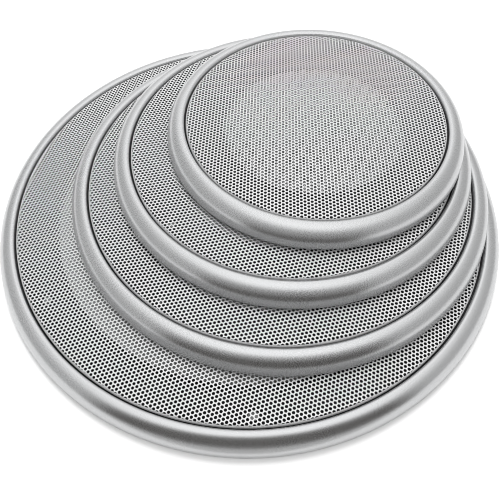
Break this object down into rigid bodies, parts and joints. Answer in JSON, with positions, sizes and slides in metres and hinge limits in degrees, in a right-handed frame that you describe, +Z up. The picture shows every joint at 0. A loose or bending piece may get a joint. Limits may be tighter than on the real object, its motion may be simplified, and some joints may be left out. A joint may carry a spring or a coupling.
{
  "type": "car speaker grille set",
  "caption": "Round car speaker grilles in graduated sizes, stacked: silver half-round rims, perforated silver metal mesh, black mounting rings with pull-off covers.",
  "frame": {"origin": "centre of the largest grille's underside, where the stack stands on a flat surface", "axes": "+Z up, out of the grilles' faces; +X to the right and +Y to the back, the two ways in which the smaller grilles are set off"},
  "size_m": [0.224, 0.224, 0.0347],
  "materials": {
    "silver_trim": "satin silver metallic paint over a moulded ABS ring",
    "silver_mesh": "satin silver paint on perforated steel sheet",
    "black_abs": "fine-grained black moulded ABS",
    "foam": "closed-cell EVA foam strip",
    "screw_steel": "zinc-plated steel"
  },
  "bodies": {
    "mount_8in": {"base_ring_8in": "black_abs", "gasket_8in": "foam"},
    "cover_8in": {"trim_ring_8in": "silver_trim", "mesh_8in": "silver_mesh", "mesh_carrier_8in": "black_abs", "carrier_screws_8in": "screw_steel"},
    "mount_6in": {"base_ring_6in": "black_abs", "gasket_6in": "foam"},
    "cover_6in": {"trim_ring_6in": "silver_trim", "mesh_6in": "silver_mesh", "mesh_carrier_6in": "black_abs", "carrier_screws_6in": "screw_steel"},
    "mount_5in": {"base_ring_5in": "black_abs", "gasket_5in": "foam"},
    "cover_5in": {"trim_ring_5in": "silver_trim", "mesh_5in": "silver_mesh", "mesh_carrier_5in": "black_abs", "carrier_screws_5in": "screw_steel"},
    "mount_4in": {"base_ring_4in": "black_abs", "gasket_4in": "foam"},
    "cover_4in": {"trim_ring_4in": "silver_trim", "mesh_4in": "silver_mesh", "mesh_carrier_4in": "black_abs", "carrier_screws_4in": "screw_steel"}
  },
  "joints": [
    {"name": "cover_8in_pull_off", "type": "slide", "parent": "mount_8in", "child": "cover_8in", "axis": [0, 0, 1], "range_m": [0, 0.025]},
    {"name": "unstack_6in", "type": "slide", "parent": "cover_8in", "child": "mount_6in", "axis": [0, 0, 1], "range_m": [0, 0.04]},
    {"name": "cover_6in_pull_off", "type": "slide", "parent": "mount_6in", "child": "cover_6in", "axis": [0, 0, 1], "range_m": [0, 0.025]},
    {"name": "unstack_5in", "type": "slide", "parent": "cover_6in", "child": "mount_5in", "axis": [0, 0, 1], "range_m": [0, 0.04]},
    {"name": "cover_5in_pull_off", "type": "slide", "parent": "mount_5in", "child": "cover_5in", "axis": [0, 0, 1], "range_m": [0, 0.025]},
    {"name": "unstack_4in", "type": "slide", "parent": "cover_5in", "child": "mount_4in", "axis": [0, 0, 1], "range_m": [0, 0.04]},
    {"name": "cover_4in_pull_off", "type": "slide", "parent": "mount_4in", "child": "cover_4in", "axis": [0, 0, 1], "range_m": [0, 0.025]}
  ]
}
